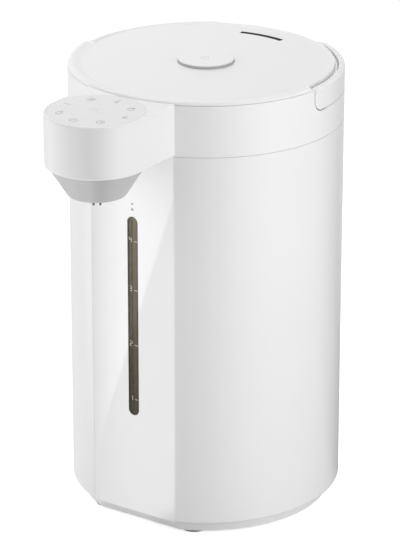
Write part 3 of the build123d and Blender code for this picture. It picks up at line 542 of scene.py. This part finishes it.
def button_with_shaded_side(board):
    (z,) = place_wires(board, "Z")
    depth = (float(button_top[2]) - z) * (1 / cap_depth)
    grain = mottle(board, size=0.0006, detail=3.0)
    return {
        # Painted shade: grey on the side wall below the white top.
        "Base Color": tint(board, depth * 0.5 + 0.02 * grain, grey(0.86), grey(0.84), grey(0.46)),
        "Roughness": 0.34 + 0.08 * grain,
        "Normal": relief(board, grain, depth=0.000003),
    }


finish("button_grey", button_with_shaded_side)
print("cap", cap_depth / millimetre, "mm deep")

# %% [markdown]
# ### Glass of the gauge
# The window is smoked plastic, and behind it stands a clear tube. Real refraction in such thin walls is
# noisy to render and keeps light out of the gutter behind, so both are see-through by their alpha and keep
# the gloss of glass. The window's colour is painted lighter towards the top, a painted reflection. It is
# also painted with upright bands of light and dark, which are painted highlights for the tube behind it.

# %% Smoked window and sight glass
window_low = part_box("level_window")[0][2]
window_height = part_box("level_window")[1][2] - window_low
window_half = 4.4 * millimetre  # of the face that shows; the rim behind the panel is wider
window_streak_light = (0.02, 0.20, 0.85, 0.40, 0.95, 1.0, 0.90, 0.30)  # light across the window, from the left
smoke_low, smoke_high = (0.010, 0.008, 0.004), (0.225, 0.185, 0.105)


def smoked(board):
    cloud = mottle(board, size=0.02)
    x, z = place_wires(board, "XZ")
    across = x * float(0.5 / window_half) + 0.5
    # Painted reflection: the window is lighter towards the top.
    height = (z - float(window_low)) * float(1 / window_height) + 0.1 * cloud
    # Painted highlights: upright bands of light and dark across the window, for the tube behind it.
    band = tint(board, across, *map(grey, window_streak_light))
    return {
        "Base Color": tint(board, band * (0.30 + 0.70 * height), smoke_low, smoke_high),
        "Roughness": 0.05 + 0.03 * cloud,
        "Alpha": 0.80 + 0.06 * cloud,
    }


def clear_tube(board):
    cloud = mottle(board, size=0.01)
    return {
        "Base Color": tint(board, cloud, (0.62, 0.60, 0.52), (0.70, 0.68, 0.60)),
        "Roughness": 0.04 + 0.04 * cloud,
        "Alpha": 0.22 + 0.08 * cloud,
    }


finish("window_smoke", smoked, specular_ior_level=0.1, coat_weight=0.12, coat_roughness=0.02)
finish("sight_glass", clear_tube, coat_weight=1.0, coat_roughness=0.02)
print("glass:", list(finishes)[-2:])

# %% [markdown]
# ### Metals
# The pot, the lid's inner plate and the pins are turned and brushed, so their scratches run round the
# upright axis. Noise that is read in cylinder coordinates, by radius and height, gives just those rings.

# %% Metals


def ring_scratches(board, size):
    """Noise that depends on the distance from the body axis and on the height, and not on the angle."""
    x, y, z = place_wires(board, "XYZ")
    from_axis = y - float(body_axis[1])
    radius = (x * x + from_axis * from_axis) ** 0.5
    turned = board.node("ShaderNodeCombineXYZ", sockets={"X": radius, "Z": z})
    return board.node("ShaderNodeTexNoise", sockets={"Vector": turned, "Scale": 1 / size, "Detail": 3.0})


def brushed(board):
    lines = ring_scratches(board, size=0.0006)
    smear = mottle(board, size=0.04)
    return {
        "Base Color": tint(board, lines, (0.74, 0.73, 0.71), (0.84, 0.83, 0.81)),
        "Roughness": 0.26 + 0.12 * lines + 0.06 * smear,
        "Normal": relief(board, lines, depth=0.000006),
    }


def cast(low, high, size, rough):
    """Metal with a coarse skin, in two tones."""

    def varying(board):
        skin = mottle(board, size, detail=4.0)
        return {
            "Base Color": tint(board, skin, low, high),
            "Roughness": rough + 0.15 * skin,
            "Normal": relief(board, skin, depth=0.00001),
        }

    return varying


finish("steel", brushed, metallic=0.85)
# Two tones, size of the skin in metres, and roughness.
finish("steel_bright", cast(grey(0.74), grey(0.80), 0.012, 0.08), metallic=1.0)
finish("heater_metal", cast(grey(0.58), grey(0.70), 0.002, 0.38), metallic=1.0)
finish("motor_metal", cast((0.42, 0.43, 0.44), (0.56, 0.57, 0.57), 0.006, 0.32), metallic=1.0)
finish("brass", cast((0.66, 0.50, 0.24), (0.76, 0.60, 0.32), 0.004, 0.22), metallic=1.0)
print("metals:", list(finishes)[-5:])

# %% [markdown]
# ### Felt, silicone and circuit boards
# These show only when the lid is up or the pot is taken apart. Felt is a tangle of short fibres, which
# stretched noise in three directions suggests. Silicone is milky. A board has a green lacquer over
# copper, which shows as a faint net.

# %% Soft and green finishes
track_spacing = 4.0 * millimetre  # of the copper tracks


def felt(board):
    upright = mottle(board, size=0.0012, detail=4.0, stretch=(1.0, 1.0, 0.25))
    level = mottle(board, size=0.0012, detail=4.0, stretch=(0.25, 0.25, 1.0))
    tangle = 0.5 * upright + 0.5 * level
    return {
        "Base Color": tint(board, tangle, (0.42, 0.42, 0.40), (0.68, 0.68, 0.65)),
        "Roughness": 0.85 + 0.1 * tangle,
        "Normal": relief(board, tangle, depth=0.0003),
    }


def milky(board):
    cloud = mottle(board, size=0.015)
    return {
        "Base Color": tint(board, cloud, (0.74, 0.74, 0.70), (0.82, 0.82, 0.79)),
        "Roughness": 0.5 + 0.1 * cloud,
    }


def lacquered_board(board):
    sockets = {"Vector": place_on(board), "Scale": 1 / track_spacing}
    copper = board.node("ShaderNodeTexVoronoi", {"feature": "DISTANCE_TO_EDGE"}, sockets)
    return {
        "Base Color": tint(board, copper, (0.10, 0.34, 0.15), (0.035, 0.17, 0.07), (0.03, 0.15, 0.06)),
        "Roughness": 0.35 + 0.2 * copper,
    }


finish("felt", felt, sheen_weight=0.4)
finish("silicone", milky, subsurface_weight=0.15)
finish("board_green", lacquered_board)
print("soft and green:", list(finishes)[-3:])

# %% [markdown]
# ### Dress the solids
# The record of the part says which slot each solid takes its finish from.

# %% Give each solid its finish
for part in frame["record"]["subparts"]:
    solid = frame["nodes"][part["node"]]
    solid.data.materials.clear()
    solid.data.materials.append(finishes[part["material_slot"]])

# %% [markdown]
# ## Printed marks
# Ink is a film with a little height. Each line of a mark is a flat ribbon: a rectangle carried along a
# path on the face that it is printed on. A mark is a list of such paths, drawn in millimetres about
# its own middle, and a sheet of marks becomes one mesh.

# %% Ribbons on a face
ink_height = 0.00006
ink_root = 0.00002  # how far the film reaches into the face, so that no gap shows


def arc(radius, start, end, x=0.0, y=0.0, count=24):
    """Points on a circle from one angle to another, in degrees."""
    angle = np.radians(np.linspace(start, end, count))
    return np.column_stack([x + radius * np.cos(angle), y + radius * np.sin(angle)])


def line(*points):
    return np.array(points, dtype=float)


def ribbon(path, width, joined):
    """Corners of a rectangle carried along a path, as (points, 4, 3): half the width to each side of it.

    The sideways direction is the path's own direction turned by a quarter.
    """
    if joined:
        ahead = np.roll(path, -1, axis=0) - np.roll(path, 1, axis=0)
    else:
        ahead = np.gradient(path, axis=0)
    ahead = ahead / np.linalg.norm(ahead, axis=1, keepdims=True)
    side = np.column_stack([-ahead[:, 1], ahead[:, 0]]) * width / 2
    left, right = path + side, path - side
    high, low = np.full((len(path), 1), ink_height), np.full((len(path), 1), -ink_root)
    corners = [np.hstack(pair) for pair in ((left, high), (right, high), (right, low), (left, low))]
    return np.stack(corners, axis=1)


# %% One mesh for a sheet of marks


def print_marks(name, marks, middle, across, upward, material, body):
    """One mesh of all marks on a face. A mark is (path, width, joined), in metres on the face."""
    out = np.cross(across, upward)
    points, quads, start = [], [], 0
    for path, width, joined in marks:
        corners = ribbon(path, width, joined)
        number = start + np.arange(len(path) * 4).reshape(-1, 4)
        loop = np.vstack([number, number[:1]]) if joined else number
        ring = np.hstack([loop, loop[:, :1]])
        sides = [ring[:-1, :-1], ring[:-1, 1:], ring[1:, 1:], ring[1:, :-1]]
        quads.append(np.stack(sides, axis=-1).reshape(-1, 4))
        if not joined:
            quads.append(np.vstack([number[:1, ::-1], number[-1:]]))
        points.append(corners.reshape(-1, 3))
        start += len(path) * 4
    flat = np.vstack(points)
    placed_points = middle + flat[:, :1] * across + flat[:, 1:2] * upward + flat[:, 2:] * out
    mesh = bpy.data.meshes.new(name)
    mesh.from_pydata(placed_points.tolist(), [], np.vstack(quads).tolist())
    mesh.update()
    piece = bpy.data.objects.new(name, mesh)
    bpy.context.scene.collection.objects.link(piece)
    mesh.materials.append(material)
    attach(piece, body)
    print(name, "strokes", len(marks), "quads", len(mesh.polygons))


# %% [markdown]
# ### Numbers
# Numbers are drawn with the seven bars of a digital display, which is how such a pot shows its
# temperature, and which needs no font.

# %% Seven-bar digits
bars = {
    "a": line((0, 2), (1, 2)), "b": line((1, 1), (1, 2)), "c": line((1, 0), (1, 1)),
    "d": line((0, 0), (1, 0)), "e": line((0, 0), (0, 1)), "f": line((0, 1), (0, 2)),
    "g": line((0, 1), (1, 1)),
}
lit_bars = {"1": "bc", "2": "abged", "3": "abgcd", "4": "fgbc", "5": "afgcd", "9": "abcdfg"}
digit_step = 1.6  # from digit to digit, in widths of a digit
bar_share = 0.13  # width of a bar, as a share of the height


def number_mark(text, height, x, y):
    """Strokes of a number whose middle is at (x, y). A digit is half as wide as it is high."""
    half = height / 2
    step = half * digit_step
    left = x - (step * (len(text) - 1) + half) / 2
    marks = []
    for index, digit in enumerate(text):
        corner = np.array([left + step * index, y - half])
        marks += [(corner + bars[bar] * half, height * bar_share, False) for bar in lit_bars[digit]]
    return marks


# %% [markdown]
# ### Touch panel
# Eight small signs stand in a ring, one over each sensor of the board below, and the set temperature
# stands in the middle. The signs are plain ones: more, less, water, lock, heat, power, time and steam.

# %% Shapes of the signs


def drop_outline():
    """Closed outline of a drop: a circle whose sideways reach shrinks with the sine of half the angle."""
    angle = np.linspace(0, 2 * np.pi, 33)[:-1]
    return np.column_stack([0.46 * np.sin(angle) * np.sin(angle / 2) ** 1.5, 0.5 * np.cos(angle)])


def wave_line(x):
    """Upright line that swings once to each side."""
    y = np.linspace(-0.45, 0.45, 17)
    return np.column_stack([x + 0.07 * np.sin(y * 7.0), y])


def closed_circle(radius, x=0.0, y=0.0):
    return arc(radius, 0, 360, x, y, 25)[:-1]


signs = [
    [(line((-0.4, 0), (0.4, 0)), False), (line((0, -0.4), (0, 0.4)), False)],
    [(arc(0.26, 0, 180, 0, 0.08), False), (closed_circle(0.34, 0, -0.2), True)],
    [(closed_circle(0.2, 0, -0.32), True), (line((0, -0.12), (0, 0.5)), False)],
    [(wave_line(-0.28), False), (wave_line(0.0), False), (wave_line(0.28), False)],
    [(line((-0.4, 0), (0.4, 0)), False)],
    [(drop_outline(), True)],
    [(arc(0.42, 120, 420), False), (line((0, 0.05), (0, 0.5)), False)],
    [(closed_circle(0.42), True), (line((0, 0.26), (0, 0)), False), (line((0, 0), (0.2, 0)), False)],
]
print("signs", len(signs))

# %% Set the signs in a ring
sign_circle = 25.0 * millimetre
sign_size = 6.6 * millimetre
sign_line = 0.55 * millimetre
first_sign = -2.0  # degrees

touch_marks = []
for index, sign in enumerate(signs):
    angle = np.radians(first_sign + 360 * index / len(signs))
    spot = sign_circle * np.array([np.cos(angle), np.sin(angle)])
    touch_marks += [(spot + path * sign_size, sign_line, joined) for path, joined in sign]
print("strokes", len(touch_marks))

# %% Ink, and the two prints on the touch panel


def ink(low, high):
    """Thin ink whose cover is a little uneven."""

    def varying(board):
        cover = mottle(board, size=0.0012)
        return {"Base Color": tint(board, cover, low, high), "Roughness": 0.35 + 0.15 * cover}

    return varying


grey_ink = finish("grey_ink", ink(grey(0.34), grey(0.42)))
faint_ink = finish("faint_ink", ink(grey(0.64), grey(0.70)))
white_ink = finish("white_ink", ink(grey(0.82), grey(0.88)))
gauge_ink = finish("gauge_ink", ink((0.56, 0.52, 0.44), (0.66, 0.62, 0.54)))

east, north, top = np.eye(3)
print_marks("touch_signs", touch_marks, touch_middle, east, north, grey_ink, "housing")
temperature_height = 9.0 * millimetre
degree_radius, degree_x, degree_y, degree_line = (size * millimetre for size in (0.9, 8.6, 3.4, 0.5))
degree = [(closed_circle(degree_radius, degree_x, degree_y), degree_line, True)]
temperature = number_mark("95", temperature_height, 0.0, 0.0) + degree
print_marks(
    "touch_temperature", temperature, touch_middle, east, north, white_ink, "housing"
)

# %% [markdown]
# ### Gauge and button
# The window carries four levels, each a number and a tick. Above it are two small dots, and the button
# on the lid has a faint arrow that says it springs the lid open.

# %% Gauge marks
level_heights = np.array([222.7, 185.3, 142.8, 100.3]) * millimetre
tick_start, tick_end, tick_line = (size * millimetre for size in (1.2, 3.9, 0.5))
digit_height, digit_x, digit_rise = (size * millimetre for size in (3.6, -1.9, 0.8))
gauge_face = np.array([0.0, panel_front, 0.0])
gauge_marks = []
for level, height in zip("4321", level_heights):
    gauge_marks += [(line((tick_start, height), (tick_end, height)), tick_line, False)]
    gauge_marks += number_mark(level, digit_height, digit_x, height + digit_rise)
print_marks("level_marks", gauge_marks, gauge_face, east, top, gauge_ink, "housing")

dots = np.array([(0.45, 250.8, 0.7), (0.55, 246.6, 0.9)]) * millimetre  # radius, height and line of each
dot_marks = [(closed_circle(radius, 0.0, height), width, True) for radius, height, width in dots]
print_marks("panel_dots", dot_marks, gauge_face, east, top, grey_ink, "housing")

arrow = [line((-1.4, -0.5), (0, 0.9), (1.4, -0.5)), line((-1.4, -1.6), (1.4, -1.6))]
arrow_scale, arrow_line = 2.2 * millimetre, 1.0 * millimetre
arrow_marks = [(stroke * arrow_scale, arrow_line, False) for stroke in arrow]
print_marks("button_arrow", arrow_marks, button_top, east, north, faint_ink, "button")

# %% [markdown]
# ## Dark edges of the outlet
# Under the cone the end of the outlet shows as two dark dots with a bright gap between them. They are a
# painted reflection: two dark lips below the tube's end stand in for the dark sides that the metal tube
# mirrors. The dots lie level in the picture, so the gap between the lips points along the view. Each lip
# is a part of a ring: a section that ends in a half circle, carried round the outlet's axis.

# %% Carry the lips round the outlet
outlet_low, outlet_high = (np.array(corner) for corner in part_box("outlet_nozzle"))
outlet_axis = (outlet_low + outlet_high) / 2
lip_radius, lip_wall, lip_length = 3.2 * millimetre, 1.1 * millimetre, 5.2 * millimetre
lip_root = 0.6 * millimetre  # how far a lip reaches up into the tube
lip_half = 38.0  # degrees to each side
lip_turn = np.degrees(camera_azimuth)


def ring_part(section, axis, turns):
    """Points of (radius, height) carried round an upright axis, as (turns, section, 3)."""
    angle = np.radians(turns)[:, None]
    radius, height = section.T[:, None, :]
    x, y = axis[0] + radius * np.cos(angle), axis[1] + radius * np.sin(angle)
    return np.stack([x, y, np.broadcast_to(height, x.shape)], axis=-1)


lip_end = arc(lip_wall / 2, 180, 360, lip_radius - lip_wall / 2, outlet_low[2] - lip_length, 13)
lip_top = outlet_low[2] + lip_root
lip_section = np.vstack([lip_end, [(lip_radius, lip_top), (lip_radius - lip_wall, lip_top)]])
# Painted reflection: dark lips for the mirrored dark sides of the tube.
dark_edge_lips = []
for name, middle in (("right", lip_turn), ("left", lip_turn + 180)):
    turns = np.linspace(middle - lip_half, middle + lip_half, 17)
    points = ring_part(lip_section, outlet_axis, turns)
    lip = surface(f"outlet_dark_edge_{name}", points, across_closed=True, capped=True)
    lip.data.materials.append(finishes["vent_dark"])
    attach(lip, "housing")
    dark_edge_lips.append(lip)
print("lips end", round((outlet_low[2] - lip_length) / millimetre, 1), "mm above the floor")

# %% [markdown]
# In the photograph the panel mirrors a bright card up to the collar and shows almost nothing of the cone.
# A real panel would mirror it, and this one would show it as a dark wedge, so the pieces of the outlet are
# kept out of mirrors. Their shadow on the panel stays.

# %% Keep the outlet out of the mirror
unmirrored = ("spout_cone", "outlet_nozzle", "upper_hose", "control_board")
outlet_pieces = [frame["nodes"][name] for name in unmirrored] + dark_edge_lips
for piece in outlet_pieces:
    piece.visible_glossy = False
print("kept out of mirrors:", [piece.name for piece in outlet_pieces])

# %% [markdown]
# ## Steam slot
# The slot in the lid looks black to its edge, so a thin black sleeve stands inside its walls: painted
# shade, for the shade deep in the slot. The sleeve's section, an upright rectangle, is carried round the
# outline of the slot, which is two arcs about the body's axis, joined by straight ends.

# %% Put the painted shade into the steam slot
slot_inner, slot_outer = 72.3 * millimetre, 76.7 * millimetre  # radii
slot_half = 14.0  # degrees to each side
lid_skin = 2.2 * millimetre  # the thickness of the lid there
slot_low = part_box("steam_vent")[1][2]
slot_high = slot_low + lid_skin
shade_sheet_gap, shade_sheet_wall = 0.1 * millimetre, 0.25 * millimetre


def slot_loop(inset, height):
    """Closed outline of the slot, moved inwards: there on the outer arc, and back on the inner one."""
    half = slot_half - np.degrees(inset / slot_inner)
    there = arc(slot_outer - inset, 90 - half, 90 + half, 0.0, body_axis[1], 25)
    back = arc(slot_inner + inset, 90 + half, 90 - half, 0.0, body_axis[1], 25)
    loop = np.vstack([there, back])
    return np.column_stack([loop, np.full(len(loop), height)])


near, far = shade_sheet_gap, shade_sheet_gap + shade_sheet_wall  # from the wall of the slot
low, high = slot_low + shade_sheet_gap, slot_high - shade_sheet_gap
shade_sheet_corners = [(near, high), (near, low), (far, low), (far, high)]
shade_sheet_points = np.stack([slot_loop(*corner) for corner in shade_sheet_corners], axis=1)
# Painted shade: a black sheet just inside the slot's walls.
slot_shade_sheet = surface("slot_painted_shade", shade_sheet_points, across_closed=True, along_closed=True)
slot_shade_sheet.data.materials.append(finishes["vent_dark"])
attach(slot_shade_sheet, "lid")
print("lining quads", len(slot_shade_sheet.data.polygons))

# %% [markdown]
# ## Bead under the handle
# The folded handle lies in a recess of the collar, and the gap between them hardly shows. A white bead
# fills most of the gap, so that little of its shade shows: painted light, standing in for light in the
# gap. The bead is thick behind, where the handle only lifts off it, and thin round the two ends, which
# swing past it. It is a flat section carried along the edge of the recess: down one end, round its corner,
# along the bottom behind the body, and up again at the other end.

# %% Edge of the recess
# Millimetres, from the body's axis and the floor.
recess_front, recess_low, recess_round = -10.9, 313.6, 9.9
bead_inner, bead_outer = 94.9, 99.6  # radii
thin, thick, root = 0.2, 0.7, -0.05  # heights over the edge of the recess; the root is in the collar
bead_rise = 3.0  # how far the bead runs up above the rounded corner
rear_start = 2.2  # degrees from the right side to where the corner ends
rear_points = 176


def recess_end(count=13):
    """Edge of one end from top to bottom, seen from the side: (y, z), and the directions into the gap."""
    angle = np.radians(np.linspace(0, 90, count))
    inward = np.column_stack([np.cos(angle), np.sin(angle)])
    middle = np.array([recess_front, recess_low]) + recess_round
    edge = np.vstack([[(recess_front, middle[1] + bead_rise)], middle - recess_round * inward])
    return edge, np.vstack([inward[:1], inward])


def bead_line(radius, at_end, behind):
    """One corner of the section along the whole bead: its height at the ends, and behind the body."""
    edge, inward = recess_end()
    y, z = (edge + at_end * inward).T
    right = np.column_stack([np.sqrt(radius**2 - y**2), y, z])
    angle = np.radians(np.linspace(rear_start, 180 - rear_start, rear_points))
    from_end = np.degrees(np.minimum(angle, np.pi - angle)) - rear_start
    rise = recess_low + at_end + (behind - at_end) * np.clip(from_end, 0, 1)
    rear = np.column_stack([radius * np.cos(angle), radius * np.sin(angle), rise])
    return np.vstack([right, rear, right[::-1] * [-1, 1, 1]])


# %% Carry the bead along it
bead_corners = [
    (bead_inner, root, root), (bead_outer, root, root),
    (bead_outer, thin, thick), (bead_inner, thin, thick),
]
bead_points = np.stack([bead_line(*corner) for corner in bead_corners], axis=1) * millimetre + body_axis
# Painted light: a white filler in the gap, so that the gap's shade hardly shows.
gap_filler = surface("handle_gap_filler", bead_points, across_closed=True, capped=True)
gap_filler.data.materials.append(finishes["moulding_white"])
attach(gap_filler, "housing")
print("bead quads", len(gap_filler.data.polygons))

# %% [markdown]
# ## Spring under the button
# The spring stands on the floor of its well, and the pressed button shortens it. The coils of a real one
# close up. Here the spring's solid is only given a mesh of its own; it is not shortened.

# %% Give the spring its own mesh
spring = frame["nodes"]["button_spring"]
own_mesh(spring)
